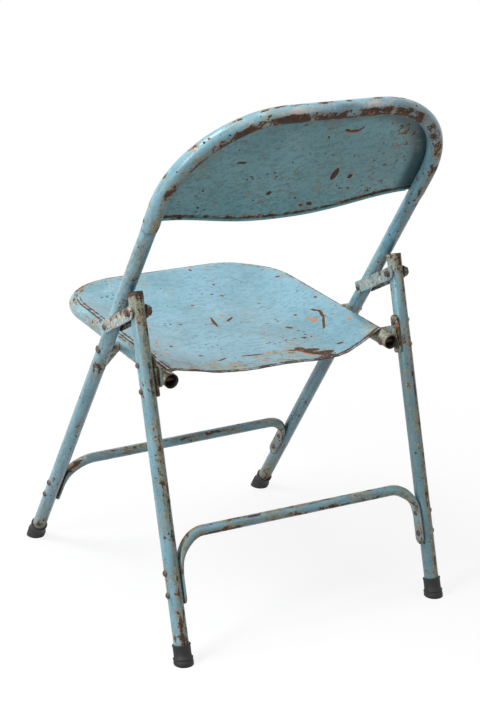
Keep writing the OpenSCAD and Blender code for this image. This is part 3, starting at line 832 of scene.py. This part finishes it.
bend = np.linspace(0, math.pi / 2, 34)[:-1]
corner_rows = -SEAT_FRONT + SEAT_CORNER * (1 - np.cos(bend))
rows_left = SEAT_ROWS - len(corner_rows)
t = np.arange(rows_left) / (rows_left - 1)
straight_from = SEAT_CORNER - SEAT_FRONT
u = np.linspace(-1, 1, SEAT_COLUMNS)[:, None]
sx = u * np.concatenate([half_width(corner_rows), np.full(rows_left, SEAT_X)])
sy = np.concatenate([corner_rows + 0 * u,
                     straight_from + t * (rear_edge(u * SEAT_X) - straight_from)], 1)
ragged_edge = noise_along(sx[:, -1], 90, 3.0)
sy -= (0.0007 + 0.0007 * ragged_edge)[:, None] * step_at(sy, 0.10, 0.142)
flat = np.stack([sx, sy, 0 * sx], -1).reshape(-1, 3)
waves = noise_at(flat, 8.0, 11.0).reshape(sx.shape)
dimples = noise_at(flat, 26.0, 4.0).reshape(sx.shape)
depth = dish_depth(sx, sy)
inside = step_at(depth, 0.004, 0.014)
droop = 0.0035 * bump_at(sx, -0.075, 0.07) * step_at(sy, 0.07, 0.142)
shallow = 0.0050 * bump_at(sx, 0.115, 0.075) * step_at(sy, 0.04, 0.142)
height = TUBE_R - depth + inside * (0.0012 * waves + 0.0003 * dimples) - droop + shallow
top_face = np.stack([sx, sy, height + SEAT_T], -1)
under_face = np.stack([sx, sy, height], -1)
points, faces = two_sided(under_face, top_face)

# Scratches and orange blooms on top of the seat: two ends as x, back pairs
seat_marks = [
    (4, -68, 13, -30, 2.6), (-12, -43, -29, -56, 2.8), (-146, -12, -153, 2, 2.4),
    (-153, 2, -146, 24, 2.7), (-146, 24, -128, 54, 2.4), (-27, -153, -27, -152, 3.4),
    (-41, -147, -43, -146, 2.9), (6, -123, 8, -121, 2.9), (-55, -136, -57, -138, 3.4),
    (-46, -234, -48, -228, 2.9), (-145, -220, -152, -222, 2.4), (-166, -153, -170, -150, 3.4),
    (-172, -43, -172, -38, 3.1), (-84, 15, -92, 22, 3.6), (-118, 108, -124, 112, 2.9),
    (40, 90, 6, 96, 2.3), (83, 97, 64, 88, 2.2), (-60, 104, -72, 120, 4.6),
    (-72, 116, -90, 128, 6.3), (-50, 98, -62, 112, 3.6), (-88, 132, -98, 138, 5.8),
    (-52, 94, -64, 98, 4.4), (-64, 104, -84, 108, 5.2), (-78, 118, -100, 122, 5.6),
    (-40, 96, -48, 100, 3.0), (-120, -20, -122, -16, 2.7), (-62, -176, -60, -174, 2.4),
    (60, -60, 62, -57, 2.2), (88, -120, 86, -116, 2.4), (-100, -90, -96, -92, 2.2),
    (120, 20, 124, 26, 2.7), (96, 64, 92, 68, 2.4), (-20, 60, -24, 62, 2.1)]
seat_spots = [
    (134, -2, 132, 0, 3.4), (-3, 92, -6, 94, 3.0), (-132, 15, -133, 22, 4.3),
    (-128, 5, -129, 9, 2.8), (152, 60, 150, 64, 3.0), (146, 20, 144, 24, 2.6),
    (-56, 112, -70, 122, 3.5), (-36, 96, -48, 102, 2.6), (20, 118, 14, 120, 2.1),
    (150, -60, 149, -56, 2.6), (166, -90, 166, -84, 2.2), (-100, 60, -104, 64, 2.2),
    (70, 110, 60, 112, 2.1), (-14, -70, -17, -66, 2.2), (-168, 60, -170, 66, 2.6)]
flat_x, flat_back = sx.reshape(-1), sy.reshape(-1)
rim_gap = (half_width(flat_back) - np.abs(flat_x)) / MM
front_gap = (flat_back + SEAT_FRONT) / MM
rear_gap = (rear_edge(flat_x) - flat_back) / MM
hem = np.minimum(np.minimum(rim_gap, front_gap), rear_gap)
patch = noise_at(flat, 11.0, 21.0)
fleck = noise_at(flat, 45.0, 15.0)
# Dark lines a few mm in from the rear edge and the left rim: rust, and painted shade of the fold
# and the groove.
seam_rust_and_shade = bump_at(rear_gap, 5.5, 4.5) + (flat_x > 0) * (front_gap > 60) * bump_at(rim_gap, 6.0, 3.0)
# A paler lip along the edge: rubbed paint, and a painted highlight on the rolled edge.
lip = bump_at(hem, 2.0, 3.0)
seat_rust_and_shade = (-0.02 + 0.03 * patch + 0.22 * bump_at(hem, 0.0, 3.2) + (0.19 + 0.06 * fleck) * seam_rust_and_shade
             + 0.14 * bump_at(flat_x, -0.08, 0.045) * bump_at(rear_gap, 8.0, 26.0) * (0.6 + fleck)
             + 0.06 * bump_at(rear_gap, 30.0, 40.0) * np.clip(fleck + 0.2, 0, 1)
             + 0.06 * bump_at(rim_gap, 14.0, 12.0) * (flat_x > 0) * np.clip(patch + 0.3, 0, 1))
seat_dirt = (0.07 * patch + 0.05 * fleck + 0.06 * bump_at(rear_gap, 20, 60)
             + 0.02 * bump_at(rim_gap, 10.0, 20.0))
seat_pale_and_highlight = 0.10 * bump_at(rear_gap, 10, 30) + 0.25 * lip
top_wear_and_painted_light = wear_of(len(flat_x), rust=seat_rust_and_shade, dirt=seat_dirt, pale=seat_pale_and_highlight,
                   mark=scratches(flat_x, flat_back, seat_marks),
                   spot=scratches(flat_x, flat_back, seat_spots))
under_wear = wear_of(len(flat_x), rust=0.03 + 0.05 * patch, dirt=0.05 + 0.05 * fleck)
mesh_piece("seat_top", "seat", ["seat_sheet"], placed(SEAT, points), faces, seat_paint,
           two_layers(under_wear, top_wear_and_painted_light), points)

# %% [markdown]
# ## Rear legs
# Two straight tubes, open and rusty at the top, with streaks of grime and rust down
# the rear. The right one has painted shade: its paint is darker from the foot up to
# the hinge plate.

# %% Rear legs
REAR_LEN, REAR_START = 0.533, 0.0071
leg_up = np.linspace(REAR_START, REAR_LEN, 110)
for side, name in SIDES:
    spots = np.stack([np.full(len(leg_up), side * LEG_X), leg_up], -1)
    outs = np.tile([side, 0.0], (len(leg_up), 1))
    way_round = turns[::side]
    up, angle = on_rings(leg_up, way_round)
    long_streak = noise_at(np.stack([angle * 9, 0 * up, up * 12], -1), 0.9, side * 3.0)
    rearward = bump_at(angle, 1.45 + 0.3 * side, 1.1)
    at_top = bump_at(up, REAR_LEN, 0.02)
    # The negative pale on the right leg is painted shade, darkening it below the hinge plate.
    leg_wear_and_shade = wear_of(
        len(up),
        rust=rearward * (0.045 + 0.11 * long_streak) - 0.005 + (0.08 + 0.03 * side) * at_top
        + 0.02 * bump_at(up, REAR_LEN, 0.09) + 0.035 * bump_at(up, 0.03, 0.04)
        + 0.015 * bump_at(up, REAR_SEAT_UP, 0.06),
        dirt=rearward * (0.085 + 0.11 * long_streak) + 0.1 * bump_at(up, REAR_LEN, 0.06),
        pale=0.10 * bump_at(angle, 5.4, 1.2) + 0.2 * bump_at(up, REAR_LEN, 0.07)
        - (0.13 - 0.13 * side) * (1 - step_at(up, 0.36, 0.46)))
    tube_piece("rear_tube_" + name, "rear_legs", "rear_leg_" + name, (spots, outs), way_round,
               REAR, leg_wear_and_shade, shift=8.0 + 2.0 * side)

# %% [markdown]
# ## Stretchers
# Thinner tube, bent down at both ends and flattened where it is riveted to the
# legs. Each ring turns from round to flat along the way down.

# %% Stretchers
STR_R, STR_BEND, FLAT_T, FLAT_W = 0.008, 0.038, 0.0036, 0.020


def stretcher(name, node, body, matrix, bar_up, end_up, slant, seed):
    """Rings along the bar, round the bend and down the flattened end.

    The outer edge of the tube lies on the leg's inner face and then bends away,
    so each ring hangs from that edge by its own half thickness. slant lifts the
    bar at the left and drops it at the right.
    """
    bend_up = bar_up - STR_BEND
    edge_bend = STR_BEND + STR_R
    down = np.concatenate([np.linspace(end_up, end_up + 0.010, 8),
                           np.linspace(end_up + 0.012, bend_up, 26)])[:-1]
    edge = [(LEG_IN, z, 1.0, 0.0) for z in down]
    for turn in np.linspace(0, math.pi / 2, 26):
        edge.append((LEG_IN - edge_bend + edge_bend * math.cos(turn),
                     bend_up + edge_bend * math.sin(turn), math.cos(turn), math.sin(turn)))
    for x_at in np.linspace(LEG_IN - edge_bend, 0, 44)[1:]:
        edge.append((x_at, bar_up + STR_R, 0.0, 1.0))
    from_end = both_sides(lengths(np.array(edge)[:, :2]))
    flatness = 1 - step_at(from_end, 0.038, 0.100)
    edge = both_sides(edge, (-1, 1, -1, 1))
    count = 24
    ring = np.linspace(0, FULL_TURN, count, endpoint=False)
    rings = []
    for (ex, ez, ox, oz), flat, gone in zip(edge, flatness, from_end):
        thick = STR_R + (FLAT_T / 2 - STR_R) * flat
        wide = STR_R + (FLAT_W / 2 - STR_R) * flat
        wide *= math.sqrt(max(1 - max(1 - gone / 0.010, 0) ** 2, 0.02))
        power = 1 - 0.45 * flat
        c = np.sign(np.cos(ring)) * np.abs(np.cos(ring)) ** power
        s = np.sign(np.sin(ring)) * np.abs(np.sin(ring)) ** power
        lift = slant * ex / LEG_X * step_at(gone, 0.040, 0.120)
        rings.append(np.stack([ex - thick * ox + thick * c * ox, wide * s,
                               ez - thick * oz + thick * c * oz + lift], -1))
    rings = np.array(rings)
    points, faces = capped(rings)
    angle = np.append(np.tile(ring, len(rings)), [0, 0])
    x_of = np.append(rings[:, :, 0].reshape(-1), [0, 0])
    long_streak = noise_at(np.stack([x_of * 26, 0 * x_of, angle * 0.6], -1), 1.0, seed)
    fleck = noise_at(points, 40.0, seed + 3)
    low_rear = bump_at(angle, 2.3, 1.1)
    top_line = step_at(np.cos(angle - 0.25), 0.84, 1.0)
    at_end = step_at(np.abs(x_of), 0.17, 0.20)
    wear = wear_of(len(points),
                   rust=-0.01 + low_rear * (0.07 + 0.10 * long_streak) * (1 - 0.5 * at_end)
                   + top_line * (0.05 + 0.10 * long_streak) + at_end * (0.03 + 0.05 * fleck),
                   dirt=0.01 + 0.05 * low_rear + 0.05 * top_line + 0.04 * fleck + 0.03 * at_end,
                   pale=0.10 * bump_at(angle, 5.6, 1.0))
    along = np.repeat(lengths(rings.mean(1)), count) + seed
    skin = np.stack([STR_R * np.cos(angle[:-2]), STR_R * np.sin(angle[:-2]), along], -1)
    skin = np.concatenate([skin, skin[:1], skin[-1:]])
    mesh_piece(name, body, [node], placed(matrix, points), faces, tube_paint, wear, skin)


stretcher("front_bar", "front_stretcher", "front_frame", FRONT, bar_up=0.207, end_up=0.108,
          slant=0.0, seed=1.0)
stretcher("rear_bar", "rear_stretcher", "rear_legs", REAR, bar_up=0.179, end_up=0.084,
          slant=0.004, seed=6.0)

# %% [markdown]
# ## Link plates and hinge plates
# Flat steel strips with soft edges. Years of folding have rubbed their faces pale
# and left rust along the edges. Each is made of outlines set one inside the other,
# so the wear can change from the edge to the middle.

# %% A plate from its outline
def soft_box(low, high, half, radii, gap):
    """Outline (along, across) of a strip with rounded ends, moved in by gap."""
    low, high, half = low + gap, high - gap, half - gap
    small, large = [max(r - gap, 0.0003) for r in radii]
    corners = ((high - large, half - large, large, 0), (low + small, half - small, small, 90),
               (low + small, small - half, small, 180), (high - large, large - half, large, 270))
    points = []
    for along, across, r, start in corners:
        for turn in np.radians(np.linspace(start, start + 90, 9)):
            points.append((along + r * math.cos(turn), across + r * math.sin(turn)))
    return np.array(points)


def plate(name, body, node, matrix, box, x_low, x_high, finish, pivots_at=(), grimy=0.0):
    """A flat strip from x_low to x_high, rustier at its edge and round its pivots."""
    steps = ((0.0005, 0), (0, 0.0005), (0, 0.0012), (0, 0.0026), (0, 0.0045))
    rows = [(x_low + step, gap) for step, gap in steps[::-1]]
    rows += [(x_high - step, gap) for step, gap in steps]
    rings, depth = [], []
    for x_at, gap in rows:
        spots = soft_box(*box, gap)
        rings.append(np.stack([np.full(len(spots), x_at), spots[:, 0], spots[:, 1]], -1))
        depth += [gap] * len(spots)
    points, faces = capped(np.array(rings))
    depth = np.array(depth + [0.006, 0.006])
    near = np.zeros(len(points))
    for along in pivots_at:
        gap = np.linalg.norm(points[:, 1:] - np.array([along, 0]), axis=1)
        near = np.maximum(near, bump_at(gap, 0.0045, 0.006))
    fleck = noise_at(points, 70.0, x_low * 90)
    at_edge = 1 - step_at(depth, 0.0004, 0.0024)
    wear = wear_of(len(points), rust=grimy * 0.4 + 0.065 * at_edge + 0.06 * near + 0.04 * fleck,
                   dirt=grimy + 0.04 + 0.05 * fleck + 0.05 * near, pale=0.05 * (1 - at_edge))
    mesh_piece(name, body, [node], placed(matrix, points), faces, finish, wear,
               points + np.array([9.0, 0, 0]))


# %% The four link plates
LINK_W, LINK_T, LINK_FACE = 0.019, 0.003, 0.0114
front_pin, rear_pin = pivots["link_swing"], pivots["rear_leg_fold"]
link_run = rear_pin - front_pin
LINK = plane(front_pin.y, front_pin.z, math.atan2(link_run.z, link_run.y))
link_box = (-0.0065, link_run.length + LINK_W / 2, LINK_W / 2, (0.003, 0.0094))
for side, name in SIDES:
    for place, start in (("outer", LINK_FACE), ("inner", -LINK_FACE - LINK_T)):
        x_low = side * LEG_X + (start if side > 0 else -start - LINK_T)
        # The inner left plate is darkened: grime, and painted shade on the inner side of the left
        # leg.
        plate(f"link_{place}_plate_{name}", "links", f"link_{place}_{name}", LINK, link_box,
              x_low, x_low + LINK_T, link_paint, (0, link_run.length),
              grimy=0.14 if (place, name) == ("inner", "left") else 0.0)
print("links are", round(link_run.length / MM, 1), "mm between pins")

# %% The two hinge plates on the rear legs
HINGE_T, HINGE_HALF, HINGE_LOW, HINGE_HIGH = 0.003, 0.0085, 0.38255, 0.44055
HINGE_PINS = (REAR_SEAT_UP, 0.4303, 0.3928)
UPWARD = REAR @ QUARTER_TURN
hinge_box = (HINGE_LOW, HINGE_HIGH, HINGE_HALF, (0.004, 0.0065))
for side, name in SIDES:
    x_low = LEG_IN - HINGE_T if side > 0 else -LEG_IN
    plate("hinge_leaf_" + name, "rear_legs", "hinge_plate_" + name, UPWARD, hinge_box,
          x_low, x_low + HINGE_T, sheet_paint_with_painted_light, HINGE_PINS, grimy=0.12)

# %% [markdown]
# ## Rubber tips
# Each tip is a moulded sleeve with a lip at the top and two ribs round the foot.
# It is turned on the leg's axis, and cut level where it stands on the floor.

# %% Rubber tips
TIP_R, RIB_R, TIP_H = 0.013, 0.01475, 0.019


def rubber_tip(name, body, node, matrix, side, lean):
    """lean is positive where the leg's rear side is the one nearer the floor."""
    foot = 0.006 + RIB_R * math.sin(abs(lean))
    top = foot + TIP_H
    profile = [
        (TUBE_R, top - 0.003), (TUBE_R + 0.0002, top), (TIP_R + 0.0002, top),
        (TIP_R + 0.0006, top - 0.0008), (TIP_R + 0.0005, top - 0.0022), (TIP_R, top - 0.003),
        (TIP_R - 0.0001, foot + 0.0060), (TIP_R + 0.0001, foot + 0.0012),
        (RIB_R - 0.0008, foot + 0.0004), (RIB_R, foot - 0.0006), (RIB_R - 0.0001, foot - 0.0022),
        (TIP_R + 0.0006, foot - 0.0030), (TIP_R + 0.0006, foot - 0.0038),
        (RIB_R - 0.0003, foot - 0.0046), (RIB_R - 0.0001, foot - 0.0075),
        (RIB_R - 0.0004, foot - 0.0300), (0.0002, foot - 0.0300)]
    angles = np.linspace(0, FULL_TURN, 48, endpoint=False)
    rings = []
    for radius, up in profile:
        wobble = radius + 0.0001 * np.sin(3 * angles + up * 900)
        behind = wobble * np.sin(angles)
        level = np.maximum(up, behind * math.tan(lean))
        rings.append(np.stack([side * LEG_X + wobble * np.cos(angles), behind, level], -1))
    points, faces = capped(np.array(rings))
    points = placed(matrix, points[:-2])
    faces = [f for f in faces if max(f) < len(points)]
    points[:, 2] = np.maximum(points[:, 2], 0)
    mesh_piece(name, body, [node], points, [f[::-1] for f in faces], rubber_finish)


for side, name in SIDES:
    rubber_tip("front_foot_" + name, "front_frame", "front_tip_" + name, FRONT, side, FRONT_LEAN)
    rubber_tip("rear_foot_" + name, "rear_legs", "rear_tip_" + name, REAR, side, -REAR_LEAN)

# %% [markdown]
# ## Floor, light and camera
# A white floor that keeps a soft shadow, a key lamp high on the sitter's left, a
# weaker one overhead, a tall narrow one low on the left, and an even pale world.

# %% Floor
def seen_directly(nodes):
    """1 where the camera, a clear reflection or clear glass looks."""
    kinds = [nodes.node("ShaderNodeLightPath", out=kind)
             for kind in ("Is Camera Ray", "Is Glossy Ray", "Is Transmission Ray")]
    return kinds[0].most(kinds[1]).most(kinds[2])


f = Finish("studio_floor")
seen = seen_directly(f)
spread = f.node("ShaderNodeVectorMath", {"operation": "LENGTH"}, {0: f.place}, out="Value")
share = seen * spread.ramp(0.45, 1.1, 0.84, 1.0)
f.wear(Base_Color=f.mix(seen, rgb(148, 148, 148), rgb(246, 246, 246)), Roughness=0.9)
glow = f.node("ShaderNodeEmission", None, {"Color": (1, 1, 1, 1)})
plain = Wire(f, f.shader.outputs[0])
both = f.node("ShaderNodeMixShader", None, {0: share, 1: plain, 2: glow})
f.put(f.tree.nodes["Material Output"].inputs["Surface"], both)
bpy.ops.mesh.primitive_plane_add(size=60, location=(0, 0, 0))
floor = bpy.context.active_object
floor.name = "floor"
floor.data.materials.append(f.material)
floor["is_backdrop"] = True

# %% World
world = bpy.data.worlds.new("studio")
bpy.context.scene.world = world
world.use_nodes = True
air = Nodes(world.node_tree)
air.tree.nodes.clear()
soft = air.node("ShaderNodeBackground", None, {"Color": (0.97, 0.985, 1.0, 1), "Strength": 0.33})
white = air.node("ShaderNodeBackground", None, {"Color": (1, 1, 1, 1), "Strength": 1.0})
sky = air.node("ShaderNodeMixShader", None, {0: seen_directly(air), 1: soft, 2: white})
air.put(air.node("ShaderNodeOutputWorld", out=None).inputs["Surface"], sky)


# %% Lamps
AIM = Vector((0, 0, 0.4))


def lamp(name, place, size, watts):
    """A soft lamp, size wide and high in metres, turned to the middle of the chair."""
    data = bpy.data.lights.new(name, "AREA")
    data.shape = "RECTANGLE"
    data.size, data.size_y = size
    data.energy = watts
    made = bpy.data.objects.new(name, data)
    made.location = place
    made.rotation_mode = "QUATERNION"
    made.rotation_quaternion = (AIM - Vector(place)).to_track_quat("-Z", "Y")
    bpy.context.scene.collection.objects.link(made)


lamp("key", (1.7, -0.3, 2.9), (1.2, 1.2), 70)
lamp("top", (-0.3, 0.4, 3.2), (2.0, 2.0), 26)
lamp("side", (2.7, 0.9, 1.3), (0.5, 1.8), 40)

# %% Camera
AZIMUTH, ELEVATION = math.radians(149.762), math.radians(17.523)
DISTANCE = 2.5499
back = Vector((math.sin(AZIMUTH) * math.cos(ELEVATION), -math.cos(AZIMUTH) * math.cos(ELEVATION),
               math.sin(ELEVATION)))
camera_data = bpy.data.cameras.new("camera")
camera_data.lens = 81.45
camera_data.sensor_width = 36
camera = bpy.data.objects.new("camera", camera_data)
camera.location = Vector((-0.0263, -0.0119, 0.3413)) + back * DISTANCE
camera.rotation_mode = "QUATERNION"
camera.rotation_quaternion = (-back).to_track_quat("-Z", "Y")
bpy.context.scene.collection.objects.link(camera)
bpy.context.scene.camera = camera
bpy.context.scene.view_settings.view_transform = "Standard"

# %% Sizes and the closing line
low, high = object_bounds()
print("visual box", [round(v, 4) for v in (*low, *high)])
